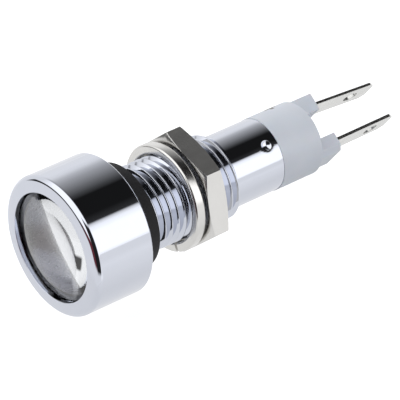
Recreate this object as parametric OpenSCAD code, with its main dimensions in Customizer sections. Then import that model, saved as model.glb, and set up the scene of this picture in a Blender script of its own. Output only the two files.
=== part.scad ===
// Panel pilot light for an 8 mm hole: a turned housing with a clear lens, an LED on a
// small circuit board, a moulded terminal insert with two tabs, and the gasket, spring
// washer and nut that hold it in a panel. The light's axis lies along +Y, with the lens
// facing -Y. The origin is on the axis at the panel's front face, where the gasket seats.
// Every piece is drawn along its own +Z, and on_axis() lays it along +Y at the end.

/* [Head] */
// Diameter of the head
head_d = 13; // [12.8:0.1:14]
// Length of the head, from its front plane to its back face
head_len = 6.15; // [6:0.05:8]
// Diameter of the window that the lens sits in
window_d = 10.1; // [9.9:0.05:10.6]
// How far the front face rises from its rim to the window
front_rise = 0.13; // [0.05:0.01:0.3]
// Radius of the head's front corner
head_round = 0.5; // [0.2:0.05:0.6]
// Chamfer on the head's rear rim
rim_chamfer = 0.15; // [0.05:0.01:0.3]
// Depth of the lens chamber, from the front plane to its shoulder
chamber_depth = 4.5; // [4.2:0.05:5]

/* [Thread] */
// Major diameter of the thread
thread_d = 7.96; // [7.8:0.01:8]
// Length of the thread, from the head's back face to its rear end
thread_len = 12; // [11:0.1:14]
// Chamfer at the rear end of the thread
thread_chamfer = 0.3; // [0.1:0.05:0.4]

/* [Barrel] */
// Diameter of the plain barrel behind the thread
barrel_d = 6.85; // [6.7:0.05:7.1]
// Length of the plain barrel
barrel_len = 5.35; // [4.5:0.05:7]
// Diameter of the bore through the thread and the barrel
bore_d = 5.9; // [5.8:0.02:6]
// Diameter of a crimp dimple
crimp_d = 1; // [0.6:0.05:1.1]
// Depth of a crimp dimple
crimp_depth = 0.26; // [0.1:0.02:0.3]
// Distance from the barrel's rear end to the crimp dimples
crimp_back = 1.2; // [1:0.05:1.6]
// Direction of the first crimp dimple, in degrees from +X towards +Z
crimp_angle = 48; // [0:1:90]

/* [Lens and reflector] */
// Depth of the lens's edge behind the front plane
lens_recess = 0.54; // [0.3:0.02:0.8]
// Height of the lens's domed front
lens_rise = 1.1; // [0.6:0.05:1.4]
// Thickness of the lens at its edge
lens_edge = 1.4; // [1:0.05:1.6]
// Gap round the lens and the reflector in their chamber
lens_gap = 0.08; // [0.03:0.01:0.1]
// Thickness of the seal behind the lens, when squeezed
seal_t = 0.36; // [0.2:0.02:0.5]
// Width of the seal's section
seal_w = 0.7; // [0.4:0.05:0.8]
// Thickness of the reflector's front rim
reflector_rim = 0.5; // [0.3:0.05:0.6]

/* [LED] */
// Diameter of the LED's body
led_d = 3; // [2.8:0.1:3.2]
// Diameter of the LED's flange
led_flange_d = 3.8; // [3.6:0.05:4]
// Thickness of the LED's flange
led_flange_t = 1; // [0.8:0.05:1.2]
// Length of the LED, flange included
led_len = 5.3; // [5:0.1:5.6]
// How far the LED stands in front of the chamber's shoulder
led_stand = 2; // [1.6:0.05:2.2]
// Distance between the LED's two leads
lead_pitch = 2.54; // [2.2:0.02:2.6]
// Width and thickness of a lead
lead_w = 0.5; // [0.4:0.02:0.54]
// Length of a lead behind the LED
lead_len = 4; // [3.4:0.1:4.4]
// Length of the bush that holds the LED
bush_len = 4.6; // [4.4:0.1:5]
// Gap between the LED and its bush
led_gap = 0.04; // [0.02:0.01:0.06]

/* [Circuit board] */
// Length of the tails' slanted stretch, between the insert and the board
tail_bend = 1; // [0.8:0.05:1.2]
// Length of a tail along the board
tail_run = 1.5; // [1.2:0.05:1.8]
// Radius of the solder round a lead
lead_solder_r = 0.65; // [0.6:0.01:0.75]
// Radius of the solder over a tail
tail_solder_r = 0.8; // [0.75:0.01:0.9]
// Gap between the parts on the board
part_gap = 0.2; // [0.1:0.05:0.3]
// Width of the board
board_w = 4.5; // [4.3:0.05:4.6]
// Thickness of the board
board_t = 0.8; // [0.6:0.05:0.9]
// Gap between the bush and the board
board_gap = 0.4; // [0.2:0.05:0.6]
// Wall of the insulating sleeve
sleeve_t = 0.22; // [0.15:0.01:0.25]
// Diameter of the diode
diode_d = 1.5; // [1.3:0.05:1.6]
// Length of the diode
diode_len = 3.4; // [3:0.1:3.6]
// Length of the resistor
resistor_len = 3.2; // [2.8:0.1:3.3]
// Width of the resistor
resistor_w = 1.6; // [1.4:0.05:1.7]
// Thickness of the resistor
resistor_t = 0.55; // [0.4:0.05:0.7]
// Length of the capacitor
capacitor_len = 2; // [1.8:0.05:2.2]
// Width of the capacitor
capacitor_w = 1.25; // [1.1:0.05:1.4]
// Height of the capacitor
capacitor_h = 0.9; // [0.6:0.05:1.1]

/* [Terminal insert] */
// Diameter of the insert behind the barrel
insert_d = 6.92; // [6.85:0.01:7.2]
// Length of the insert, from the barrel to its rear face
insert_len = 4.55; // [4:0.05:6]
// Length of the spigot that goes into the barrel
spigot_len = 2.6; // [2:0.1:3]
// Width of the two blocks round the tabs
block_w = 3.4; // [3.1:0.05:3.5]
// How far the blocks stand behind the insert's rear face
block_len = 2.45; // [2:0.05:3.4]
// Distance between the inner faces of the two blocks
block_space = 2.52; // [2.2:0.02:2.8]
// Distance across the outer faces of the two blocks
block_span = 5.8; // [5.4:0.05:6]
// Chamfer that keys one outer corner of the negative block
key_chamfer = 0.5; // [0.2:0.05:0.6]
// Chamfer on the insert's rear rim
insert_chamfer = 0.15; // [0.05:0.01:0.3]

/* [Tabs] */
// Width of a tab
tab_w = 2.8; // [2.6:0.05:2.8]
// Thickness of a tab
tab_t = 0.3; // [0.25:0.01:0.35]
// Length of a tab behind its block
tab_len = 7; // [5:0.05:8]
// Distance between the middles of the two tabs at their blocks
tab_space = 3.84; // [3.7:0.02:3.9]
// Angle at which the positive tab leans in towards the other
positive_lean = 3.4; // [0:0.1:4]
// Angle at which the negative tab leans in towards the other
negative_lean = 0.7; // [0:0.1:4]
// Diameter of the hole in a tab
tab_hole_d = 1.4; // [1:0.05:1.6]
// Distance from a tab's tip to the middle of its hole
tab_hole_back = 2.2; // [1.5:0.05:2.6]
// Chamfer on a tab's tip corners
tip_chamfer = 0.5; // [0.2:0.05:0.7]
// Width of a tab's tail inside the barrel
tail_w = 1.2; // [1:0.05:1.4]
// Direction of the tabs' width, in degrees from +X towards +Z
tab_angle = 52; // [0:1:90]

/* [Panel fixings] */
// Thickness of the gasket
gasket_t = 2.05; // [1.5:0.05:2.5]
// Diameter of the gasket against the panel
gasket_d = 9.7; // [9.4:0.05:10.2]
// Diameter of the gasket against the head
gasket_head_d = 10.8; // [10.4:0.05:11.4]
// Outer diameter of the spring washer
washer_d = 10; // [9.6:0.05:10.4]
// Diameter of the spring washer's hole
washer_hole_d = 8.3; // [8.2:0.02:8.5]
// Thickness of the spring washer
washer_t = 1.05; // [0.8:0.05:1.2]
// Edge radius of the spring washer
washer_round = 0.22; // [0.1:0.01:0.25]
// Width of the split in the spring washer
washer_split = 0.35; // [0.2:0.05:0.5]
// Slant of the split, in degrees
split_slant = 30; // [15:1:40]
// Direction of the split, in degrees from +X towards +Z
split_angle = -70; // [-120:1:-60]
// Distance from the panel's front face to the washer as it hangs
washer_at = 3.95; // [3.5:0.05:4.1]
// Gap between the washer and the nut as they hang
nut_gap = 0.35; // [0.2:0.05:0.5]
// Size of the nut across its flats
nut_flats = 10; // [9.8:0.1:11]
// Thickness of the nut
nut_t = 2; // [1.6:0.05:2.2]
// Slope of the nut's chamfers, in degrees
nut_slope = 18; // [12:1:30]
// Depth of the countersinks at the two ends of the nut's thread
nut_sink = 0.25; // [0.1:0.05:0.3]
// Direction of one corner of the nut, in degrees from +X towards +Z
nut_angle = 41.5; // [0:0.5:60]

/* [Fits] */
// Radial clearance of the nut on the thread
nut_clear = 0.03; // [0.02:0.01:0.08]
// Radial clearance of the gasket on the thread
gasket_clear = 0.05; // [0.02:0.01:0.1]
// Radial clearance of the pieces that slide into the bore
bore_clear = 0.03; // [0.02:0.01:0.05]
// Clearance of the tabs in their slots
slot_clear = 0.03; // [0.02:0.01:0.05]

/* [Hidden] */

// A cut runs this far past the face that it opens
eps = 0.05;
// Facets of the round pieces
$fn = 72;

// Places along the light's axis, from the panel's front face
head_back = -gasket_t;
head_front = head_back - head_len;
shoulder = head_front + chamber_depth;
thread_end = head_back + thread_len;
barrel_end = thread_end + barrel_len;

// Round the lens
chamber_r = window_d / 2;
lens_r = chamber_r - lens_gap;
lens_front = head_front + lens_recess;
lens_back = lens_front + lens_edge;
reflector_front = lens_back + seal_t;
// The dome is part of a ball that cuts the lens's edge circle
dome_r = (lens_r * lens_r + lens_rise * lens_rise) / (2 * lens_rise);

// Round the LED
bore_r = bore_d / 2;
led_tip = shoulder - led_stand;
led_back = led_tip + led_len;
bush_back = shoulder + bush_len;
lead_end = led_back + lead_len;
lead_x = lead_pitch / 2;

// The board lies under the leads
board_front = bush_back + board_gap;
board_top = -lead_w / 2;
board_bottom = board_top - board_t;

// The insert and its two blocks
spigot_front = barrel_end - spigot_len;
insert_back = barrel_end + insert_len;
block_back = insert_back + block_len;
slot_w = tab_w + 2 * slot_clear;
slot_half_t = tab_t / 2 + slot_clear;
board_back = spigot_front - tail_bend;

// The tabs: a shank in the insert, a blade behind it and a bent tail on the board
tab_y = tab_space / 2;
tail_front = board_back - tail_run;
top_tail_y = board_top + tab_t / 2;
bottom_tail_y = board_bottom - tab_t / 2;

// The solder lumps, and the parts on the board's top between them
lead_solder_at = lead_end - lead_solder_r / 2;
tail_solder_at = tail_front + tail_solder_r / 4;
diode_front = lead_solder_at + lead_solder_r + part_gap;
resistor_front = diode_front + diode_d + part_gap;

// The gasket, the washer and the nut round the thread
thread_r = thread_d / 2;
washer_back = washer_at + washer_t;
nut_front = washer_back + nut_gap;
nut_back = nut_front + nut_t;

// Lays what is drawn along +Z along +Y, so that a turn of -A there is A from +X towards +Z
module on_axis() {
    rotate([-90, 0, 0]) children();
}

// A disc or drum between two places on the axis
module drum(r, from, to) {
    translate([0, 0, from]) cylinder(r = r, h = to - from);
}

// A box centred on the axis in X, from y0 to y1 and from z0 to z1
module slab(w, y0, y1, z0, z1) {
    translate([-w / 2, y0, z0]) cube([w, y1 - y0, z1 - z0]);
}

// Turns to the tabs' own directions: their width along X, one tab on each side in Y
module on_tabs() {
    on_axis() rotate([0, 0, -tab_angle]) mirror([0, 1, 0]) children();
}

// Half outline of the head, with its front corner round and its face rising to the window
module head_outline() {
    r = head_d / 2;
    rise_z = head_front + front_rise;
    difference() {
        union() {
            translate([0, rise_z + head_round]) square([r, head_len - front_rise - head_round]);
            translate([0, rise_z]) square([r - head_round, head_round + eps]);
            translate([r - head_round, rise_z + head_round]) circle(head_round);
            polygon([[0, rise_z + eps], [r - head_round, rise_z + eps],
                     [r - head_round, rise_z], [chamber_r, head_front], [0, head_front]]);
        }
        polygon([[r + eps, head_back + eps], [r + eps, head_back - rim_chamfer - eps],
                 [r - rim_chamfer - eps, head_back + eps]]);
    }
}

// One crimp dimple, as a ball that bites into the barrel
module crimp(angle) {
    ball_r = (crimp_d * crimp_d / 4 + crimp_depth * crimp_depth) / (2 * crimp_depth);
    rotate([0, 0, -angle])
        translate([barrel_d / 2 - crimp_depth + ball_r, 0, barrel_end - crimp_back])
            sphere(ball_r);
}

// The turned housing: head, threaded neck and plain barrel in one piece
module housing() {
    color("gainsboro") on_axis() difference() {
        union() {
            rotate_extrude() head_outline();
            drum(thread_r, head_back - eps, thread_end - thread_chamfer);
            translate([0, 0, thread_end - thread_chamfer])
                cylinder(r1 = thread_r, r2 = thread_r - thread_chamfer, h = thread_chamfer);
            drum(barrel_d / 2, thread_end - thread_chamfer, barrel_end);
        }
        drum(chamber_r, head_front - eps, shoulder);
        drum(bore_r, shoulder - eps, barrel_end + eps);
        for (side = [0, 180]) crimp(crimp_angle + side);
    }
}

// The clear lens: a disc with a domed front
module lens() {
    color("white") on_axis() intersection() {
        drum(lens_r, lens_front - lens_rise, lens_back);
        translate([0, 0, lens_front - lens_rise + dome_r]) sphere(dome_r);
    }
}

// The seal between the lens and the reflector
module lens_seal() {
    color("dimgray") on_axis() difference() {
        drum(lens_r, lens_back, reflector_front);
        drum(lens_r - seal_w, lens_back - eps, reflector_front + eps);
    }
}

// The reflector: a cone open to the front, with a hole for the LED
module reflector() {
    color("silver") on_axis() difference() {
        drum(lens_r, reflector_front, shoulder);
        translate([0, 0, reflector_front - eps])
            cylinder(r1 = lens_r - reflector_rim, r2 = led_d / 2 + led_gap,
                     h = shoulder - reflector_front - reflector_rim + eps);
        drum(led_d / 2 + led_gap, reflector_front, shoulder + eps);
    }
}

// The LED's body: a drum with a round nose and a flange with one flat
module led_lamp() {
    color("ghostwhite") on_axis() difference() {
        union() {
            translate([0, 0, led_tip + led_d / 2]) sphere(led_d / 2);
            drum(led_d / 2, led_tip + led_d / 2, led_back);
            drum(led_flange_d / 2, led_back - led_flange_t, led_back);
        }
        rotate([0, 0, -tab_angle])
            translate([(led_d + led_flange_d) / 4, -led_d, led_back - led_flange_t - eps])
                cube([led_d, 2 * led_d, led_flange_t + 2 * eps]);
    }
}

// A lead of the LED, lying along the board on one side
module lead_bar(side) {
    translate([side * lead_x - lead_w / 2, -lead_w / 2, led_back])
        cube([lead_w, lead_w, lead_len]);
}

module led_anode_lead() {
    color("silver") on_tabs() lead_bar(-1);
}

module led_cathode_lead() {
    color("silver") on_tabs() lead_bar(1);
}

// The bush that holds the LED in the bore
module led_bush() {
    color("black") on_axis() difference() {
        drum(bore_r - bore_clear, shoulder, bush_back);
        drum(led_d / 2 + led_gap, shoulder - eps, bush_back);
        drum(led_flange_d / 2 + led_gap, led_back - led_flange_t, bush_back + eps);
    }
}

// The board that the LED and the tabs are soldered to
module circuit_board() {
    color("darkgreen") on_tabs() slab(board_w, board_bottom, board_top, board_front, board_back);
}

// The diode, across the board
module rectifier_diode() {
    color("firebrick") on_tabs()
        translate([-diode_len / 2, board_top + diode_d / 2, diode_front + diode_d / 2])
            rotate([0, 90, 0]) cylinder(d = diode_d, h = diode_len);
}

// The resistor and the capacitor, side by side behind the diode
module resistor() {
    color("darkslategray") on_tabs()
        translate([-part_gap - resistor_w, board_top, resistor_front])
            cube([resistor_w, resistor_t, resistor_len]);
}

module smoothing_capacitor() {
    color("tan") on_tabs()
        translate([part_gap, board_top, resistor_front])
            cube([capacitor_w, capacitor_h, capacitor_len]);
}

// A half ball of solder on one face of the board
module solder(r, x, y, z, up) {
    intersection() {
        translate([x, y, z]) sphere(r);
        translate([x - r, up ? y : y - r, z - r]) cube([2 * r, r, 2 * r]);
    }
}

// The two lumps that join the LED's leads to the board
module lead_solder() {
    color("silver") on_tabs() difference() {
        for (side = [-1, 1])
            solder(lead_solder_r, side * lead_x, board_top, lead_solder_at, true);
        for (side = [-1, 1]) lead_bar(side);
    }
}

// The two lumps that join the tabs' tails to the board
module tail_solder() {
    color("silver") on_tabs() difference() {
        union() {
            solder(tail_solder_r, 0, board_top, tail_solder_at, true);
            solder(tail_solder_r, 0, board_bottom, tail_solder_at, false);
        }
        tail(1, top_tail_y);
        tail(-1, bottom_tail_y);
    }
}

// The sleeve that keeps the board off the metal bore
module insulating_sleeve() {
    color("khaki") on_axis() difference() {
        drum(bore_r - bore_clear, bush_back, spigot_front);
        drum(bore_r - bore_clear - sleeve_t, bush_back - eps, spigot_front + eps);
    }
}

// One of the two blocks round the tabs, on the side given
module block(side) {
    half_w = block_w / 2;
    outer = side * block_span / 2;
    difference() {
        translate([-half_w, min(outer, side * block_space / 2), insert_back - eps])
            cube([block_w, (block_span - block_space) / 2, block_len + eps]);
        if (side < 0)
            translate([half_w, outer, insert_back])
                rotate([0, 0, 45])
                    translate([-2 * key_chamfer, key_chamfer / sqrt(2) - 2 * key_chamfer, -2 * eps])
                        cube([4 * key_chamfer, 2 * key_chamfer, block_len + 4 * eps]);
    }
}

// The moulded insert that closes the barrel: a spigot, a drum and the two blocks
module terminal_insert() {
    color("lavender") difference() {
        union() {
            on_axis() drum(bore_r - bore_clear, spigot_front, barrel_end + eps);
            on_axis() drum(insert_d / 2, barrel_end, insert_back - insert_chamfer);
            on_axis() translate([0, 0, insert_back - insert_chamfer])
                cylinder(r1 = insert_d / 2, r2 = insert_d / 2 - insert_chamfer, h = insert_chamfer);
            on_tabs() for (side = [-1, 1]) block(side);
        }
        on_tabs() for (side = [-1, 1])
            slab(slot_w, side * tab_y - slot_half_t, side * tab_y + slot_half_t,
                 spigot_front - eps, block_back + eps);
    }
}

// A strip of width w whose side view is a list of [y, z] corners
module strip(w, corners) {
    rotate([90, 0, 90]) translate([0, 0, -w / 2]) linear_extrude(w) polygon(corners);
}

// The shank and the blade of a tab, with the hole and the cut tip corners
module blade(side, lean) {
    half_t = tab_t / 2;
    mitre = half_t * tan(lean / 2);
    tip_y = tab_y - tab_len * sin(lean);
    tip_z = block_back + tab_len * cos(lean);
    out_y = half_t * cos(lean);
    out_z = half_t * sin(lean);
    difference() {
        strip(tab_w, [[side * (tab_y + half_t), spigot_front],
                      [side * (tab_y + half_t), block_back + mitre],
                      [side * (tip_y + out_y), tip_z + out_z],
                      [side * (tip_y - out_y), tip_z - out_z],
                      [side * (tab_y - half_t), block_back - mitre],
                      [side * (tab_y - half_t), spigot_front]]);
        translate([0, side * tab_y, block_back]) rotate([side * lean, 0, 0]) {
            translate([0, 0, tab_len - tab_hole_back]) rotate([90, 0, 0])
                cylinder(d = tab_hole_d, h = 4 * tab_t, center = true);
            for (end = [-1, 1]) translate([end * tab_w / 2, 0, tab_len]) rotate([0, 45, 0])
                cube([tip_chamfer * sqrt(2), 4 * tab_t, tip_chamfer * sqrt(2)], center = true);
        }
    }
}

// The bent tail of a tab, from the insert to the board's face
module tail(side, tail_y) {
    half_t = tab_t / 2;
    from_y = side * tab_y;
    slant = atan(side * (from_y - tail_y) / tail_bend);
    mitre = side * half_t * tan(slant / 2);
    strip(tail_w, [[from_y + half_t, spigot_front + eps],
                   [from_y + half_t, spigot_front - mitre],
                   [tail_y + half_t, board_back - half_t * tan(slant / 2) - mitre],
                   [tail_y + half_t, tail_front],
                   [tail_y - half_t, tail_front],
                   [tail_y - half_t, board_back - half_t * tan(slant / 2) + mitre],
                   [from_y - half_t, spigot_front + mitre],
                   [from_y - half_t, spigot_front + eps]]);
}

// The two tabs that the wires are soldered or pushed on to
module tab_positive() {
    color("silver") on_tabs() {
        blade(1, positive_lean);
        tail(1, top_tail_y);
    }
}

module tab_negative() {
    color("silver") on_tabs() {
        blade(-1, negative_lean);
        tail(-1, bottom_tail_y);
    }
}

// The rubber gasket between the head and the panel
module panel_gasket() {
    color("black") on_axis() difference() {
        translate([0, 0, head_back])
            cylinder(d1 = gasket_head_d, d2 = gasket_d, h = gasket_t);
        drum(thread_r + gasket_clear, head_back - eps, eps);
    }
}

// A rectangle with round corners, from one corner
module round_rectangle(w, h, r) {
    translate([0, r]) square([w, h - 2 * r]);
    translate([r, 0]) square([w - 2 * r, h]);
    for (x = [r, w - r], y = [r, h - r]) translate([x, y]) circle(r);
}

// The spring washer: a ring of round-edged wire, split on the slant
module spring_washer() {
    hole_r = washer_hole_d / 2;
    ring_w = washer_d / 2 - hole_r;
    color("lightgray") on_axis() difference() {
        rotate_extrude() translate([hole_r, washer_at])
            round_rectangle(ring_w, washer_t, washer_round);
        rotate([0, 0, -split_angle])
            translate([hole_r + ring_w / 2, 0, washer_at + washer_t / 2])
                rotate([split_slant, 0, 0])
                    cube([2 * ring_w, washer_split, 3 * washer_t], center = true);
    }
}

// The thin hexagon nut, chamfered on both faces
module hex_nut() {
    flat_r = nut_flats / 2;
    corner_r = flat_r / cos(30);
    drop = (corner_r - flat_r) * tan(nut_slope);
    hole_r = thread_r + nut_clear;
    color("silver") on_axis() difference() {
        intersection() {
            rotate([0, 0, -nut_angle]) translate([0, 0, nut_front])
                cylinder(r = corner_r, h = nut_t, $fn = 6);
            rotate_extrude() polygon([[0, nut_front], [flat_r, nut_front],
                                      [corner_r, nut_front + drop], [corner_r, nut_back - drop],
                                      [flat_r, nut_back], [0, nut_back]]);
        }
        drum(hole_r, nut_front - eps, nut_back + eps);
        translate([0, 0, nut_front - eps])
            cylinder(r1 = hole_r + nut_sink + eps, r2 = hole_r, h = nut_sink + eps);
        translate([0, 0, nut_back - nut_sink])
            cylinder(r1 = hole_r, r2 = hole_r + nut_sink + eps, h = nut_sink + eps);
    }
}

housing();
lens();
lens_seal();
reflector();
led_lamp();
led_anode_lead();
led_cathode_lead();
led_bush();
circuit_board();
resistor();
rectifier_diode();
smoothing_capacitor();
lead_solder();
tail_solder();
insulating_sleeve();
terminal_insert();
tab_positive();
tab_negative();
panel_gasket();
spring_washer();
hex_nut();
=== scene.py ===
# %% [markdown]
# # A panel pilot light
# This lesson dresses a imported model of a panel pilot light: a chromed housing that screws
# into an 8 mm hole, with a clear lens in front and two terminals behind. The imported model
# is the fixed frame. Every piece below is made in that frame, so it needs no fitting.

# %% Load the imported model
import math

import bmesh
import bpy
from mathutils import Matrix, Vector


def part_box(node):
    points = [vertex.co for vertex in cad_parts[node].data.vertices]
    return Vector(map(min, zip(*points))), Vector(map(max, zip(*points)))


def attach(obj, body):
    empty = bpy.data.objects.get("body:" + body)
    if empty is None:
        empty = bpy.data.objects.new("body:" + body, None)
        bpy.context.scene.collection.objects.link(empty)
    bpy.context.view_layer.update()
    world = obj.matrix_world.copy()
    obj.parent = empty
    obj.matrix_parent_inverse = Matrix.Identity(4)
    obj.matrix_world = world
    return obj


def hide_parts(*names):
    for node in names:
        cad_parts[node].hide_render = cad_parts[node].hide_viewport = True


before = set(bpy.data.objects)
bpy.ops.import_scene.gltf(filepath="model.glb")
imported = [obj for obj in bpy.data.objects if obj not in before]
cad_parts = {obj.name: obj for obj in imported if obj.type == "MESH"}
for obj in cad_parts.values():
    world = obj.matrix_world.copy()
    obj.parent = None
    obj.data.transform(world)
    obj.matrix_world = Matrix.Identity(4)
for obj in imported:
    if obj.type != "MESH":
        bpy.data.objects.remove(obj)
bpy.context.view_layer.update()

print("Nodes in the frame:", len(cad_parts))

# %% [markdown]
# ## Sizes
# Blender works in metres and a maker of small parts thinks in millimetres. Meshes are
# drawn in millimetres and scaled once, when they become objects. Places along the light
# come from the frame's boxes, and only what a box can't tell is written as a number.

# %% Places along the light, in millimetres
mm = 0.001


def ends(node):
    """Where a CAD node begins and ends along the light, in millimetres."""
    low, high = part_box(node)
    return low.y / mm, high.y / mm


def radius(node):
    """The largest radius of a round CAD node, in millimetres."""
    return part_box(node)[1].x / mm


head_front, barrel_end = ends("housing")
gasket_front, gasket_back = ends("panel_gasket")
lens_tip, lens_back = ends("lens")
washer_front, washer_back = ends("spring_washer")
nut_front, nut_back = ends("hex_nut")
shoulder = ends("reflector")[1]
head_back = gasket_front
head_r = radius("housing")
lens_r = radius("lens")

# %% [markdown]
# ## The camera
# The camera stands in front of the lens, to its right and above it. A long focal length
# from far away keeps the light's sides almost parallel, as in a catalogue picture.

# %% The camera
camera_turn = math.radians(50.3)
camera_rise = math.radians(32.8)
camera_away = 307.2
focal_length = 315
aim = Vector((0.953, 7.619, -1.138))

towards_camera = Vector((math.sin(camera_turn) * math.cos(camera_rise),
                         -math.cos(camera_turn) * math.cos(camera_rise),
                         math.sin(camera_rise)))
camera_data = bpy.data.cameras.new("catalogue_camera")
camera_data.lens = focal_length
camera_data.clip_start = 0.01
camera = bpy.data.objects.new("catalogue_camera", camera_data)
camera.location = (aim + camera_away * towards_camera) * mm
camera.rotation_euler = (math.pi / 2 - camera_rise, 0, camera_turn)
bpy.context.scene.collection.objects.link(camera)
bpy.context.scene.camera = camera
print("Camera at", [round(v, 4) for v in camera.location])

# %% [markdown]
# ## Colours and nodes
# Colours are written as a painter's hex codes, which are sRGB. Shaders count in linear
# light, so one function turns them round. A second one adds a node: its own options are
# keywords, and its sockets get a value or a link from another node.

# %% Colours and nodes


def linear(code, alpha=1.0):
    """Turns a hex colour such as #C8CCD2 into linear red, green, blue and alpha."""
    channels = [int(code[i:i + 2], 16) / 255 for i in (1, 3, 5)]
    light = [c / 12.92 if c <= 0.04045 else ((c + 0.055) / 1.055) ** 2.4 for c in channels]
    return (*light, alpha)


def add(tree, kind, sockets=None, **options):
    """Adds a node of this kind to a tree, with its options and its sockets."""
    made = tree.nodes.new(kind)
    for name, value in options.items():
        setattr(made, name, value)
    for name, value in (sockets or {}).items():
        if isinstance(value, bpy.types.NodeSocket):
            tree.links.new(value, made.inputs[name])
        else:
            made.inputs[name].default_value = value
    return made


def spread(tree, factor, low, high, start=0.0, end=1.0):
    """Spreads a factor between two values, over the stretch from start to end."""
    return add(tree, "ShaderNodeMapRange", {"Value": factor, "From Min": start, "From Max": end,
                                            "To Min": low, "To Max": high}).outputs[0]


def product(tree, first, second):
    """Multiplies two values."""
    return add(tree, "ShaderNodeMath", {0: first, 1: second}, operation="MULTIPLY").outputs[0]


def mixed(tree, factor, first, second):
    """Mixes two colours; sockets 0, 6 and 7 are the factor and the two colours."""
    return add(tree, "ShaderNodeMix", {0: factor, 6: first, 7: second}, data_type="RGBA").outputs[2]


def between(tree, value, low, high, soft):
    """1 where a value lies between two limits, with edges this soft, and 0 elsewhere."""
    rise = spread(tree, value, 0.0, 1.0, low - soft, low + soft)
    fall = spread(tree, value, 1.0, 0.0, high - soft, high + soft)
    return product(tree, rise, fall)


# %% [markdown]
# ## The room
# Polished metal has no look of its own: it shows the room. This one stands between
# white walls, with a long soft box low on the right and a black flag overhead. The
# world paints the rear of that room as bands round the light's axis, which is what the
# housing's sides reflect. A gradient texture would only give one step, so a colour ramp
# on the angle holds the bands. The camera's own rays see plain white instead.

# %% Bands behind the light
scene = bpy.context.scene
scene.view_settings.view_transform = "Standard"
world = bpy.data.worlds.new("white_room")
world.use_nodes = True
scene.world = world
room = world.node_tree
room.nodes.clear()

# Brightness round the axis, from the right horizon over the ceiling to the left horizon
ceiling_bands = [(0, 1.35), (4, 1.6), (34, 1.6), (43, 1.35), (47, 0.9), (50, 0.04), (62, 0.012),
                 (92, 0.012), (100, 0.08), (110, 0.20), (120, 0.34), (130, 0.48), (140, 0.68),
                 (150, 0.98), (160, 1.06), (180, 1.0)]
brightest = max(level for _, level in ceiling_bands)


def grey(level):
    """A grey that gives this brightness at the room's strength."""
    return (level / brightest,) * 3 + (1,)


direction = add(room, "ShaderNodeTexCoord").outputs["Generated"]
part = add(room, "ShaderNodeSeparateXYZ", {"Vector": direction})
angle = add(room, "ShaderNodeMath", {0: part.outputs["Z"], 1: part.outputs["X"]}, operation="ARCTAN2")
bands = add(room, "ShaderNodeValToRGB", {"Fac": spread(room, angle.outputs[0], 0, 1, 0, math.pi)})
for _ in ceiling_bands[2:]:
    bands.color_ramp.elements.new(0.5)
for stop, (degrees, level) in zip(bands.color_ramp.elements, ceiling_bands):
    stop.position = degrees / 180
    stop.color = grey(level)
print("Bands round the axis:", len(ceiling_bands))

# %% [markdown]
# The front of the room is white too, with three dark things in it: the gap beyond the
# table, the camera with the person behind it, and that person's dark red sleeve. They
# draw the thin dark line and the dark crescent on the head's rounded corner. They could
# be cards in the scene, but a card would show in other views, so the world paints them.

# %% The front of the room
forwards = product(room, part.outputs["Y"], -1.0)
bearing = add(room, "ShaderNodeMath", {0: part.outputs["X"], 1: forwards},
              operation="ARCTAN2").outputs[0]
height = part.outputs["Z"]
wall_level = 1.0
soft_box_level = 1.5
gap_level = 0.03
camera_level = 0.02
sleeve_red = linear("#5A2A30")


def patch(left, right, bottom, top, soft=0.05):
    """1 in a patch of the room between two bearings and two heights, in degrees."""
    across = between(room, bearing, math.radians(left), math.radians(right), soft)
    upright = between(room, height, math.sin(math.radians(bottom)), math.sin(math.radians(top)),
                      soft)
    return product(room, across, upright)


above_horizon = spread(room, height, 0, 1, 0.0, 0.08)
right_of_wall = spread(room, part.outputs["X"], 0, 1, -0.85, -0.62)
front = mixed(room, product(room, above_horizon, right_of_wall), grey(wall_level),
              grey(soft_box_level))
front = mixed(room, patch(-64, 8, -13, 4, 0.03), front, grey(gap_level))
front = mixed(room, patch(-6, 34, -24, 9), front, sleeve_red)
front = mixed(room, patch(29, 108, -27, 46), front, grey(camera_level))
behind = spread(room, part.outputs["Y"], 0, 1, -0.05, 0.10)
walls = mixed(room, behind, front, bands.outputs["Color"])
studio = add(room, "ShaderNodeBackground", {"Color": walls, "Strength": brightest})
white = add(room, "ShaderNodeBackground", {"Color": (1, 1, 1, 1), "Strength": 1})
seen = add(room, "ShaderNodeLightPath").outputs["Is Camera Ray"]
both = add(room, "ShaderNodeMixShader", {0: seen, 1: studio.outputs[0], 2: white.outputs[0]})
add(room, "ShaderNodeOutputWorld", {"Surface": both.outputs[0]})
print("Nodes in the room:", len(room.nodes))

# %% [markdown]
# ## The floor
# The light lies on a white paper sweep. The paper glows a little to the camera, so it
# reads as white and still keeps a faint shadow. Metal sees the paper at a level of its
# own, with a painted shadow under the light and painted lighter patches to either side,
# and past the table's front edge it sees the room instead.

# %% The floor
floor_z = -9.0
floor_half = 1500
sheet = bmesh.new()
bmesh.ops.create_grid(sheet, x_segments=1, y_segments=1, size=floor_half * mm)
bmesh.ops.translate(sheet, vec=(0, 0, floor_z * mm), verts=sheet.verts)
floor_mesh = bpy.data.meshes.new("paper_floor")
sheet.to_mesh(floor_mesh)
sheet.free()
floor = bpy.data.objects.new("paper_floor", floor_mesh)
scene.collection.objects.link(floor)

# Painted light and shade that metal sees on the paper, by the distance to the right of the axis in
# millimetres: a painted shadow under the light and painted lighter patches to either side
painted_floor_light_and_shade = [(-60, 1.0), (-22, 1.02), (0, 0.93), (9, 0.91), (17, 1.0), (34, 1.08), (60, 1.02)]
floor_span = 60
floor_glow = 0.72
# The table ends this far from the origin in front, over a soft edge 2 mm wide
table_edge = 21
edge_soft = 1

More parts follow.
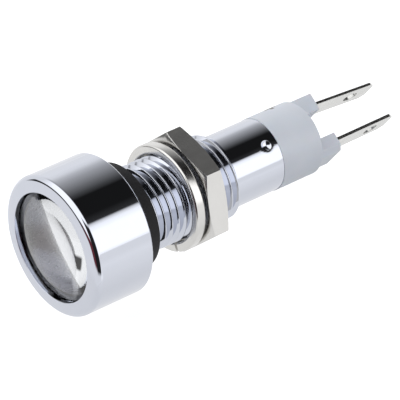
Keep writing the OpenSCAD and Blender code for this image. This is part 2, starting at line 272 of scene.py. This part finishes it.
paper = bpy.data.materials.new("white_paper")
paper.use_nodes = True
tree = paper.node_tree
shader = tree.nodes["Principled BSDF"]
shader.inputs["Base Color"].default_value = linear("#C6C6C8")
shader.inputs["Roughness"].default_value = 0.9
shader.inputs["Specular IOR Level"].default_value = 0
shader.inputs["Emission Color"].default_value = (1, 1, 1, 1)
path = add(tree, "ShaderNodeLightPath")
direct = add(tree, "ShaderNodeMath", {0: path.outputs["Is Camera Ray"],
                                      1: path.outputs["Is Transmission Ray"]}, operation="MAXIMUM")
tree.links.new(product(tree, direct.outputs[0], floor_glow), shader.inputs["Emission Strength"])
place = add(tree, "ShaderNodeTexCoord").outputs["Object"]
sides = add(tree, "ShaderNodeSeparateXYZ", {"Vector": place})
# This ramp paints the shadow under the light and the lighter patches along the paper, for metal only
levels = add(tree, "ShaderNodeValToRGB",
             {"Fac": spread(tree, sides.outputs["X"], 0, 1, -floor_span * mm, floor_span * mm)})
for _ in painted_floor_light_and_shade[2:]:
    levels.color_ramp.elements.new(0.5)
for stop, (across, level) in zip(levels.color_ramp.elements, painted_floor_light_and_shade):
    stop.position = (across + floor_span) / (2 * floor_span)
    stop.color = grey(level)
distance = add(tree, "ShaderNodeVectorMath", {0: place}, operation="LENGTH").outputs["Value"]
beyond = spread(tree, distance, 0, 1, (table_edge - edge_soft) * mm, (table_edge + edge_soft) * mm)
in_front = spread(tree, sides.outputs["Y"], 1, 0, -4 * mm, 0.0)
past = product(tree, beyond, in_front)
shine = add(tree, "ShaderNodeEmission", {"Color": levels.outputs["Color"], "Strength": brightest})
gone = add(tree, "ShaderNodeBsdfTransparent")
glossy = add(tree, "ShaderNodeMixShader", {0: past, 1: shine.outputs[0], 2: gone.outputs[0]})
choice = add(tree, "ShaderNodeMixShader", {0: path.outputs["Is Glossy Ray"],
                                           1: shader.outputs[0], 2: glossy.outputs[0]})
tree.links.new(choice.outputs[0], tree.nodes["Material Output"].inputs["Surface"])
floor_mesh.materials.append(paper)
print("Floor at", floor_z, "mm")

# %% [markdown]
# ## Soft boxes
# Two large area lamps fill the plastic and the rubber with soft light. Metal doesn't see
# them, because the room already holds the shapes that it reflects.

# %% Soft boxes
box_size = 240
box_power = 0.12


def soft_box(name, place):
    """A square area lamp that looks at the light from a place, in millimetres."""
    data = bpy.data.lights.new(name, "AREA")
    data.shape = "SQUARE"
    data.size = box_size * mm
    data.energy = box_power
    made = bpy.data.objects.new(name, data)
    made.location = Vector(place) * mm
    made.rotation_euler = (aim - Vector(place)).to_track_quat("-Z", "Y").to_euler()
    made.visible_glossy = False
    made.visible_transmission = False
    scene.collection.objects.link(made)


soft_box("left_box", (-260, -40, 260))
soft_box("right_box", (260, 160, 120))
print("Lamps:", [lamp.name for lamp in bpy.data.lights])

# %% [markdown]
# ## Patterns
# A finish is a colour that drifts a little, a roughness that varies, and a bump. Three
# helpers give the patterns: noise in blotches of a real size, noise drawn out round the
# axis as the marks of turning lie, and a bump of a real depth. They read Object
# coordinates, which are metres in the part's frame.

# %% Pattern helpers


def blank_material(name, **constants):
    """A material with its shader's constants set; returns it, its tree and its shader."""
    made = bpy.data.materials.new(name)
    made.use_nodes = True
    shader = made.node_tree.nodes["Principled BSDF"]
    for socket, value in constants.items():
        shader.inputs[socket.replace("_", " ")].default_value = value
    return made, made.node_tree, shader


def per_mm(count):
    """A pattern scale that repeats this many times in a millimetre of Object coordinates."""
    return count / mm


def noise(tree, size_mm, detail=3.0, stretch=(1, 1, 1)):
    """Noise whose blotches are about this many millimetres across."""
    place = add(tree, "ShaderNodeTexCoord").outputs["Object"]
    moved = add(tree, "ShaderNodeMapping", {"Vector": place, "Scale": stretch})
    return add(tree, "ShaderNodeTexNoise", {"Vector": moved.outputs[0], "Scale": per_mm(1 / size_mm),
                                            "Detail": detail}).outputs["Fac"]


def around_axis(tree):
    """The angle round the light's axis, the radius and the place along it."""
    place = add(tree, "ShaderNodeTexCoord").outputs["Object"]
    parts = add(tree, "ShaderNodeSeparateXYZ", {"Vector": place})
    turn = add(tree, "ShaderNodeMath", {0: parts.outputs["Z"], 1: parts.outputs["X"]},
               operation="ARCTAN2")
    flat = add(tree, "ShaderNodeVectorMath", {0: place, 1: (1, 0, 1)}, operation="MULTIPLY")
    out = add(tree, "ShaderNodeVectorMath", {0: flat.outputs[0]}, operation="LENGTH")
    return turn.outputs[0], out.outputs["Value"], parts.outputs["Y"]


def turned_lines(tree, lines_per_mm, waviness):
    """Noise drawn out round the light's axis, as the marks of turning or polishing lie."""
    turn, out, along = around_axis(tree)
    depth = add(tree, "ShaderNodeMath", {0: along, 1: out}, operation="ADD").outputs[0]
    unrolled = add(tree, "ShaderNodeCombineXYZ", {"X": product(tree, turn, waviness),
                                                  "Y": product(tree, depth, per_mm(lines_per_mm))})
    return add(tree, "ShaderNodeTexNoise", {"Vector": unrolled.outputs[0], "Scale": 1.0,
                                            "Detail": 3.0}).outputs["Fac"]


def bumped(tree, shader, height, depth_mm):
    """Turns a height of 0 to 1 into a bump of this depth."""
    bump = add(tree, "ShaderNodeBump", {"Height": height, "Distance": depth_mm * mm,
                                        "Strength": 1.0})
    tree.links.new(bump.outputs[0], shader.inputs["Normal"])


# %% [markdown]
# ## Metals
# The housing is turned from brass and chromed. Chrome reflects about two thirds of the
# light, a little more of the blue, and is nearly a mirror: polishing leaves fine lines
# round it. The nut and the washer are nickel plated in a barrel, which leaves a softer
# gloss with tumbling marks. The tabs are punched from tinned brass sheet, greyer and
# rougher, with the rolling marks of the sheet.

# %% Metals


def chrome_plate():
    """Decorative chrome on turned brass: a cool mirror with hair-fine turning lines."""
    made, tree, shader = blank_material("chrome_plate", Metallic=1.0)
    lines = turned_lines(tree, 14, 1.5)
    cloud = noise(tree, 2.5)
    tint = mixed(tree, cloud, linear("#CBCFDA"), linear("#D2D5DE"))
    tree.links.new(tint, shader.inputs["Base Color"])
    tree.links.new(spread(tree, lines, 0.02, 0.07), shader.inputs["Roughness"])
    bumped(tree, shader, lines, 0.0004)
    return made


def nickel_plate():
    """Barrel-plated nickel on steel: a soft grey gloss with small tumbling marks."""
    made, tree, shader = blank_material("nickel_plate", Metallic=1.0)
    grain = noise(tree, 0.15, 4.0)
    cloud = noise(tree, 1.8)
    marks = noise(tree, 0.5, 2.0, (1, 0.35, 1))
    tint = mixed(tree, cloud, linear("#D3D2D0"), linear("#DCDBD9"))
    tree.links.new(tint, shader.inputs["Base Color"])
    tree.links.new(spread(tree, marks, 0.12, 0.30), shader.inputs["Roughness"])
    bumped(tree, shader, grain, 0.003)
    return made


def tinned_brass():
    """Hot-tinned brass sheet: a pale, slightly cloudy metal with rolling marks along it."""
    made, tree, shader = blank_material("tinned_brass", Metallic=1.0)
    rolled = noise(tree, 0.10, 4.0, (1, 0.15, 1))
    cloud = noise(tree, 1.2)
    tint = mixed(tree, cloud, linear("#CBCBC9"), linear("#DCDCDA"))
    tree.links.new(tint, shader.inputs["Base Color"])
    tree.links.new(spread(tree, rolled, 0.16, 0.30), shader.inputs["Roughness"])
    bumped(tree, shader, rolled, 0.002)
    return made


chrome = chrome_plate()
nickel = nickel_plate()
tin = tinned_brass()
print("Metals:", chrome.name, nickel.name, tin.name)

# %% [markdown]
# ## Plastics and rubber
# The terminal insert is moulded from pale nylon, satin and a little translucent, with a
# plus printed beside the positive tab. The gasket is black rubber, matt from its mould.
# The lens is polished polycarbonate: glass-like, with its own IOR of 1.585.

# %% Plastics and rubber
plus_turn = math.radians(121)
plus_place = 17.9
plus_size = 1.3
plus_stroke = 0.36
ink_soft = 0.04
insert_r = radius("terminal_insert")


def white_nylon():
    """Injection-moulded nylon: satin, cool white, with a pad-printed plus."""
    made, tree, shader = blank_material("white_nylon", Subsurface_Weight=0.08,
                                        Subsurface_Scale=0.4 * mm)
    grain = noise(tree, 0.08, 3.0)
    cloud = noise(tree, 2.0)
    turn, out, along = around_axis(tree)
    arc = product(tree, spread(tree, turn, -1, 1, plus_turn - 1, plus_turn + 1), insert_r)
    rise = spread(tree, along, -1, 1, (plus_place - 1) * mm, (plus_place + 1) * mm)
    half, thin = plus_size / 2, plus_stroke / 2
    across = product(tree, between(tree, arc, -half, half, ink_soft),
                     between(tree, rise, -thin, thin, ink_soft))
    along_it = product(tree, between(tree, arc, -thin, thin, ink_soft),
                       between(tree, rise, -half, half, ink_soft))
    ink = add(tree, "ShaderNodeMath", {0: across, 1: along_it}, operation="MAXIMUM").outputs[0]
    on_skin = spread(tree, out, 0, 1, (insert_r - 0.1) * mm, (insert_r - 0.05) * mm)
    plastic = mixed(tree, cloud, linear("#CBD1DB"), linear("#D4D9E2"))
    printed = mixed(tree, product(tree, ink, on_skin), plastic, linear("#6C6A66"))
    tree.links.new(printed, shader.inputs["Base Color"])
    tree.links.new(spread(tree, grain, 0.34, 0.48), shader.inputs["Roughness"])
    bumped(tree, shader, grain, 0.004)
    return made


def black_rubber():
    """Moulded rubber: near black, matt and very slightly grainy."""
    made, tree, shader = blank_material("black_rubber", Specular_IOR_Level=0.25)
    grain = noise(tree, 0.06, 3.0)
    tint = mixed(tree, grain, linear("#131315"), linear("#1E1E21"))
    tree.links.new(tint, shader.inputs["Base Color"])
    tree.links.new(spread(tree, grain, 0.55, 0.8), shader.inputs["Roughness"])
    bumped(tree, shader, grain, 0.01)
    return made


def clear_polycarbonate():
    """Polished polycarbonate: clear, with the faintest haze from the mould."""
    made, tree, shader = blank_material("clear_polycarbonate", Base_Color=linear("#F4F6F9"),
                                        IOR=1.585, Transmission_Weight=1.0)
    haze = noise(tree, 1.0)
    tree.links.new(spread(tree, haze, 0.0, 0.02), shader.inputs["Roughness"])
    return made


nylon = white_nylon()
rubber = black_rubber()
polycarbonate = clear_polycarbonate()
print("Plastics:", nylon.name, rubber.name, polycarbonate.name)

# %% [markdown]
# ## What is behind the lens
# The inner parts keep their CAD shape and only need a finish. Each is plain in reality,
# so one function mottles two close colours and varies the gloss a little. The reflector's
# grey is darker than bare metallising: painted shade of the chamber behind the lens. The
# LED's body is cast epoxy, clear like the lens with a lower IOR.

# %% Finishes of the inner parts
mottle_mm = 0.3


def plain(name, low, high, rough, metallic=0.0):
    """A quiet finish: two close colours in a fine mottle."""
    made, tree, shader = blank_material(name, Metallic=metallic)
    grain = noise(tree, mottle_mm)
    tree.links.new(mixed(tree, grain, linear(low), linear(high)), shader.inputs["Base Color"])
    tree.links.new(spread(tree, grain, rough - 0.06, rough + 0.06), shader.inputs["Roughness"])
    bumped(tree, shader, grain, 0.004)
    return made


def clear_epoxy():
    """Cast epoxy: clear and glossy, a little cloudy inside."""
    made, tree, shader = blank_material("clear_epoxy", Base_Color=linear("#EEF0F2"), IOR=1.54,
                                        Transmission_Weight=1.0)
    tree.links.new(spread(tree, noise(tree, 0.8), 0.0, 0.04), shader.inputs["Roughness"])
    return made


finishes = {
    "lens_seal": plain("grey_silicone", "#3C3C42", "#484850", 0.5),
    # Painted shade: the reflector gets a dark grey for the shade inside the chamber, not the silver
    # of bare metallising
    "reflector": plain("metallised_plastic_painted_shade", "#6A6A74", "#76767F", 0.28, 1.0),
    "led_lamp": clear_epoxy(),
    "led_anode_lead": tin,
    "led_cathode_lead": tin,
    "led_bush": plain("black_nylon", "#17171A", "#212125", 0.5),
    "circuit_board": plain("green_laminate", "#1C5A36", "#256B42", 0.4),
    "resistor": plain("black_ceramic", "#1B1B1D", "#2A2A2D", 0.4),
    "rectifier_diode": plain("red_glass", "#8E2A1E", "#A43A28", 0.15),
    "smoothing_capacitor": plain("tan_ceramic", "#B08A5C", "#BF9A6C", 0.35),
    "lead_solder": plain("lead_solder", "#BDBFC2", "#CDCFD1", 0.2, 1.0),
    "tail_solder": plain("tail_solder", "#BDBFC2", "#CDCFD1", 0.2, 1.0),
    "insulating_sleeve": plain("amber_film", "#B5782A", "#C68A3A", 0.3),
}
for node, finish in finishes.items():
    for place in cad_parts[node].material_slots:
        place.material = finish
print("CAD nodes with a finish:", len(finishes))

# %% [markdown]
# ## Making a piece
# A lathe cuts a profile round an axis, and the spin operator does the same. A profile is a
# chain of corners, each with its radius, its place along the axis and its own rounding,
# which a vertex bevel cuts. Every finished mesh then goes through one function that
# scales it to metres, marks its sharp edges, hangs it on its body and hides the CAD nodes it stands
# for.

# %% Turning and finishing
turn_steps = 144
corner_steps = 6
merge_dist = 0.0005
edge_angle = 30
shade_angle = 35


def profile(shape, corners, closed=False):
    """Draws a chain of (radius, place, rounding) corners, in millimetres."""
    points = [shape.verts.new((r, y, 0)) for r, y, _ in corners]
    pairs = list(zip(points, points[1:]))
    if closed:
        pairs.append((points[-1], points[0]))
    for pair in pairs:
        shape.edges.new(pair)
    for point, (_, _, rounding) in zip(points, corners):
        if rounding:
            bmesh.ops.bevel(shape, geom=[point], offset=rounding, offset_type="OFFSET",
                            segments=corner_steps, profile=0.5, affect="VERTICES", material=-1)


def turned(corners, closed=False):
    """Spins a profile round the light's axis."""
    shape = bmesh.new()
    profile(shape, corners, closed)
    bmesh.ops.spin(shape, geom=shape.verts[:] + shape.edges[:], cent=(0, 0, 0), axis=(0, 1, 0),
                   dvec=(0, 0, 0), angle=math.tau, steps=turn_steps, use_merge=True,
                   use_duplicate=False)
    bmesh.ops.remove_doubles(shape, verts=shape.verts, dist=merge_dist)
    bmesh.ops.recalc_face_normals(shape, faces=shape.faces)
    return shape


def soften(shape, width, segments=2, shortest=0.0):
    """Rounds every edge that turns by more than edge_angle and is longer than shortest."""
    sharp = [e for e in shape.edges if len(e.link_faces) == 2
             and e.calc_face_angle() > math.radians(edge_angle) and e.calc_length() > shortest]
    bmesh.ops.bevel(shape, geom=sharp, offset=width, offset_type="OFFSET", segments=segments,
                    profile=0.5, affect="EDGES", clamp_overlap=True, material=-1)


def piece(name, shape, finish, body, slot, *nodes):
    """Turns a mesh in millimetres into an object that rides on a body and replaces nodes."""
    bmesh.ops.scale(shape, vec=(mm, mm, mm), verts=shape.verts)
    for face in shape.faces:
        face.smooth = True
    for edge in shape.edges:
        edge.smooth = len(edge.link_faces) == 2 and edge.calc_face_angle() < math.radians(shade_angle)
    mesh = bpy.data.meshes.new(name)
    shape.to_mesh(mesh)
    shape.free()
    mesh.materials.append(finish)
    made = bpy.data.objects.new(name, mesh)
    scene.collection.objects.link(made)
    weighted = made.modifiers.new("even_shading", "WEIGHTED_NORMAL")
    weighted.keep_sharp = True
    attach(made, body)
    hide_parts(*nodes)
    print(f"{name}: {len(mesh.polygons)} faces")


# %% [markdown]
# ## The threaded housing
# Head, neck and barrel are one turned piece, and the thread is cut down to the barrel. A
# helix modifier could make it, but here one turn of the groove is spun while it moves
# along by one pitch, and copies of that turn continue it. Two flat cuts end it.

# %% The thread
pitch = 0.75
thread_r = 3.98
thread_end = 9.95
thread_chamfer = 0.3
barrel_r = 3.425
crest_flat = pitch / 8
root_flat = 0.03
thread_steps = 96


def cut_across(shape, place, direction, clear=False):
    """Cuts a mesh along a plane, and can take away what lies beyond it."""
    return bmesh.ops.bisect_plane(shape, geom=shape.verts[:] + shape.edges[:] + shape.faces[:],
                                  dist=0.0001, plane_co=place, plane_no=direction,
                                  clear_outer=clear)


def thread_ribbon(crest_r, root_r, from_y, to_y):
    """An open helical skin between two flat cuts, drawn in millimetres."""
    shape = bmesh.new()
    start = from_y - pitch
    slope = (pitch - root_flat - crest_flat) / 2
    profile(shape, [(root_r, start, 0),
                    (root_r, start + root_flat, 0.05),
                    (crest_r, start + root_flat + slope, 0.035),
                    (crest_r, start + root_flat + slope + crest_flat, 0.035),
                    (root_r, start + pitch, 0)])
    bmesh.ops.spin(shape, geom=shape.verts[:] + shape.edges[:], cent=(0, 0, 0), axis=(0, 1, 0),
                   dvec=(0, pitch / thread_steps, 0), angle=math.tau, steps=thread_steps,
                   use_merge=False, use_duplicate=False)
    one_turn = shape.verts[:] + shape.edges[:] + shape.faces[:]
    for turn in range(1, math.ceil((to_y - from_y) / pitch) + 2):
        copy = bmesh.ops.duplicate(shape, geom=one_turn)["geom"]
        bmesh.ops.translate(shape, vec=(0, turn * pitch, 0),
                            verts=[v for v in copy if isinstance(v, bmesh.types.BMVert)])
    bmesh.ops.remove_doubles(shape, verts=shape.verts, dist=merge_dist)
    for at, outward in ((from_y, -1), (to_y, 1)):
        cut_across(shape, (0, at, 0), (0, outward, 0), clear=True)
    return shape


def chamfer_end(shape, crest_r, end, chamfer):
    """Turns the last crests down to a cone."""
    cut_across(shape, (0, end - chamfer, 0), (0, 1, 0))
    for point in shape.verts:
        limit = crest_r - max(0, point.co.y - (end - chamfer))
        across = math.hypot(point.co.x, point.co.z)
        if across > limit:
            point.co.x *= limit / across
            point.co.z *= limit / across


thread = thread_ribbon(thread_r, barrel_r + 0.01, head_back, thread_end)
chamfer_end(thread, thread_r, thread_end, thread_chamfer)
print("Thread faces:", len(thread.faces))

# %% [markdown]
# The rest of the housing is one profile. The thread's two cut ends are bridged to it. A
# punch has dimpled the barrel on two sides to hold the terminals: rings are cut round the
# barrel there, and the points near each dimple are pushed in along a smooth bowl.

# %% The housing
window_r = 5.05
front_rise = 0.13
head_round = 0.5
rim_chamfer = 0.15
bore_r = 2.95
neck_seat_r = 4.2
crimp_place = barrel_end - 1.2
crimp_turn = 48
crimp_r = 0.5
crimp_depth = 0.26
crimp_draw = 0.85
draw_depth = 0.07
ring_step = 0.12


def open_ends_at(shape, y):
    """The open edges of a mesh that lie in a plane across the axis."""
    return [e for e in shape.edges
            if e.is_boundary and all(abs(v.co.y - y) < 0.001 for v in e.verts)]


def join(shape, other):
    """Adds another mesh to this one."""
    carrier = bpy.data.meshes.new("carrier")
    other.to_mesh(carrier)
    other.free()
    shape.from_mesh(carrier)
    bpy.data.meshes.remove(carrier)


def punch(away):
    """How far the wall goes in at a distance from the middle of a dimple."""
    drawn = draw_depth * (0.5 + 0.5 * math.cos(math.pi * away / crimp_draw))
    bowl = max(0.0, 1 - (away / crimp_r) ** 2) * (crimp_depth - draw_depth)
    return drawn + bowl


def crimp(shape, degrees):
    """Pushes a punched dimple into the barrel, with the wall drawn in round it."""
    turn = math.radians(degrees)
    centre = Vector((barrel_r * math.cos(turn), crimp_place, barrel_r * math.sin(turn)))
    for cuts in (2, 1):
        middles = {face: face.calc_center_median() for face in shape.faces}
        near = [f for f, middle in middles.items() if (middle - centre).length < crimp_draw + 0.15
                and math.hypot(middle.x, middle.z) > barrel_r - 0.1]
        edges = list(dict.fromkeys(e for f in near for e in f.edges))
        bmesh.ops.subdivide_edges(shape, edges=edges, cuts=cuts, use_grid_fill=True)
    inwards = Vector((-math.cos(turn), 0, -math.sin(turn)))
    for point in shape.verts:
        away = (point.co - centre).length
        if away < crimp_draw and math.hypot(point.co.x, point.co.z) > barrel_r - 0.1:
            point.co += inwards * punch(away)


housing = turned([
    (neck_seat_r, head_back, 0),
    (head_r - rim_chamfer, head_back, 0.04),
    (head_r, head_back - rim_chamfer, 0.04),
    (head_r, head_front + front_rise, head_round),
    (window_r, head_front, 0.05),
    (window_r, shoulder, 0),
    (bore_r, shoulder, 0),
    (bore_r, barrel_end, 0),
    (barrel_r, barrel_end, 0.05),
    (barrel_r, thread_end, 0),
])
for step in range(-9, 8):
    cut_across(housing, (0, crimp_place + step * ring_step, 0), (0, 1, 0))
for side in (0, 180):
    crimp(housing, crimp_turn + side)
join(housing, thread)
for at in (head_back, thread_end):
    bmesh.ops.bridge_loops(housing, edges=open_ends_at(housing, at))
bmesh.ops.recalc_face_normals(housing, faces=housing.faces)
print("Open edges left in the housing:", sum(e.is_boundary for e in housing.edges))
piece("chromed_housing", housing, chrome, "light", "chrome_plate", "housing")

# %% [markdown]
# ## The lens
# The lens is a disc with a domed front. The dome is part of a ball: a point at its tip is
# spun about the ball's centre to draw the arc, and the whole outline is then turned.

# %% The lens
lens_edge = 1.4
lens_rise = lens_back - lens_edge - lens_tip
dome_r = (lens_r ** 2 + lens_rise ** 2) / (2 * lens_rise)
dome_steps = 24


def domed_lens():
    """A disc whose front is spun from an arc."""
    shape = bmesh.new()
    tip = shape.verts.new((0, lens_tip, 0))
    bmesh.ops.spin(shape, geom=[tip], cent=(0, lens_tip + dome_r, 0), axis=(0, 0, 1), dvec=(0, 0, 0),
                   angle=math.asin(lens_r / dome_r), steps=dome_steps, use_merge=False,
                   use_duplicate=False)
    rim = max(shape.verts, key=lambda v: v.co.x)
    back = shape.verts.new((lens_r, lens_back, 0))
    middle = shape.verts.new((0, lens_back, 0))
    shape.edges.new((rim, back))
    shape.edges.new((back, middle))
    bmesh.ops.bevel(shape, geom=[back], offset=0.05, offset_type="OFFSET", segments=3, profile=0.5,
                    affect="VERTICES", material=-1)
    bmesh.ops.spin(shape, geom=shape.verts[:] + shape.edges[:], cent=(0, 0, 0), axis=(0, 1, 0),
                   dvec=(0, 0, 0), angle=math.tau, steps=turn_steps, use_merge=True,
                   use_duplicate=False)
    bmesh.ops.remove_doubles(shape, verts=shape.verts, dist=merge_dist)
    bmesh.ops.recalc_face_normals(shape, faces=shape.faces)
    return shape


print(f"Dome radius {dome_r:.2f} mm")
piece("domed_lens", domed_lens(), polycarbonate, "light", "clear_polycarbonate", "lens")

# %% [markdown]
# ## The gasket
# A short rubber cone with a hole, moulded with soft edges. It is a closed profile, so the
# spin gives it walls all round.

# %% The gasket
gasket_r = 4.85
gasket_head_r = radius("panel_gasket")
gasket_hole_r = 4.03
gasket = turned([(gasket_hole_r, gasket_front, 0), (gasket_head_r, gasket_front, 0.06),
                 (gasket_r, gasket_back, 0.12), (gasket_hole_r, gasket_back, 0.05)], closed=True)
piece("rubber_gasket", gasket, rubber, "light", "black_rubber", "panel_gasket")

# %% [markdown]
# ## The spring washer
# A split ring of rounded wire. Its section is filled as a face and slanted to the split,
# and the spin stops short of a full turn, so both cut ends are closed and slanted alike.

# %% The spring washer
washer_r = radius("spring_washer")
washer_hole_r = 4.15
washer_round = 0.22
split_turn = math.radians(-70)
split_width = 0.35
split_slant = math.radians(30)


def split_washer():
    """A round-edged ring, spun from one slanted end to the other."""
    shape = bmesh.new()
    section = [(washer_hole_r, washer_front), (washer_r, washer_front),
               (washer_r, washer_back), (washer_hole_r, washer_back)]
    profile(shape, [(*corner, washer_round) for corner in section], closed=True)
    bmesh.ops.contextual_create(shape, geom=shape.verts[:] + shape.edges[:])
    middle_y = (washer_front + washer_back) / 2
    middle_r = (washer_hole_r + washer_r) / 2
    half_gap = split_width / 2 / middle_r
    for point in shape.verts:
        lead = (point.co.y - middle_y) * math.tan(split_slant) / middle_r
        point.co = Matrix.Rotation(-split_turn - half_gap + lead, 3, "Y") @ point.co
    bmesh.ops.spin(shape, geom=shape.verts[:] + shape.edges[:] + shape.faces[:], cent=(0, 0, 0),
                   axis=(0, 1, 0), dvec=(0, 0, 0), angle=math.tau - 2 * half_gap, steps=turn_steps,
                   use_merge=False, use_duplicate=False)
    bmesh.ops.remove_doubles(shape, verts=shape.verts, dist=merge_dist)
    bmesh.ops.recalc_face_normals(shape, faces=shape.faces)
    print("Open edges in the washer:", sum(e.is_boundary for e in shape.edges))
    return shape


piece("split_washer", split_washer(), nickel, "washer", "nickel_plate", "spring_washer")

# %% [markdown]
# ## The nut
# A hexagon nut is a chamfered disc with six flats milled on it, and it is made that way:
# turned first, then cut by six planes. The small bevel on every edge is what catches the
# light along the flats. Its bore is plain and just clears the housing's crests, because
# the two pieces hide a real nut's thread between them.

# %% The nut
flat_r = 5.0
corner_r = flat_r / math.cos(math.radians(30))
nut_slope = math.radians(18)
nut_turn = 41.5
nut_hole_r = 4.01
nut_sink = 0.25
nut_edge = 0.07
drop = (corner_r - flat_r) * math.tan(nut_slope)


def hexagon_nut():
    """A chamfered disc, cut flat on six sides."""
    shape = turned([(nut_hole_r + nut_sink, nut_front, 0), (flat_r, nut_front, 0),
                    (corner_r, nut_front + drop, 0), (corner_r, nut_back - drop, 0),
                    (flat_r, nut_back, 0), (nut_hole_r + nut_sink, nut_back, 0),
                    (nut_hole_r, nut_back - nut_sink, 0), (nut_hole_r, nut_front + nut_sink, 0)],
                   closed=True)
    for side in range(6):
        across = math.radians(nut_turn + 30 + 60 * side)
        outward = Vector((math.cos(across), 0, math.sin(across)))
        cut = cut_across(shape, outward * flat_r, outward, clear=True)
        rim = [e for e in cut["geom_cut"] if isinstance(e, bmesh.types.BMEdge) and e.is_boundary]
        bmesh.ops.holes_fill(shape, edges=rim, sides=0)
    bmesh.ops.recalc_face_normals(shape, faces=shape.faces)
    soften(shape, nut_edge)
    print("Open edges in the nut:", sum(e.is_boundary for e in shape.edges))
    return shape


piece("hexagon_nut", hexagon_nut(), nickel, "nut", "nickel_plate", "hex_nut")

# %% [markdown]
# ## The terminal insert and the tabs
# The CAD shapes of the moulded insert and the punched tabs are right, but their edges are
# knife sharp. A copy of each CAD mesh is merged, its flat triangles are dissolved back to
# whole faces, and its edges are rounded: a little on the moulding, and as deep as the
# punch drags the sheet on the tabs.

# %% The insert and the tabs
insert_edge = 0.08
tab_edge = 0.13
# The short chords round a tab's hole are left sharp
shortest_edge = 0.25


def softened_copy(node, width, segments=3, shortest=0.0):
    """A CAD node's shape in millimetres, with its sharp edges rounded."""
    shape = bmesh.new()
    shape.from_mesh(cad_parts[node].data)
    bmesh.ops.scale(shape, vec=(1 / mm,) * 3, verts=shape.verts)
    bmesh.ops.remove_doubles(shape, verts=shape.verts, dist=merge_dist)
    bmesh.ops.dissolve_limit(shape, angle_limit=math.radians(1), verts=shape.verts, edges=shape.edges)
    soften(shape, width, segments=segments, shortest=shortest)
    print(node, "open edges:", sum(e.is_boundary for e in shape.edges))
    return shape


piece("moulded_insert", softened_copy("terminal_insert", insert_edge), nylon, "light",
      "white_nylon", "terminal_insert")
for name, node in (("positive_tab", "tab_positive"), ("negative_tab", "tab_negative")):
    piece(name, softened_copy(node, tab_edge, 4, shortest_edge), tin, "light", "tinned_brass", node)
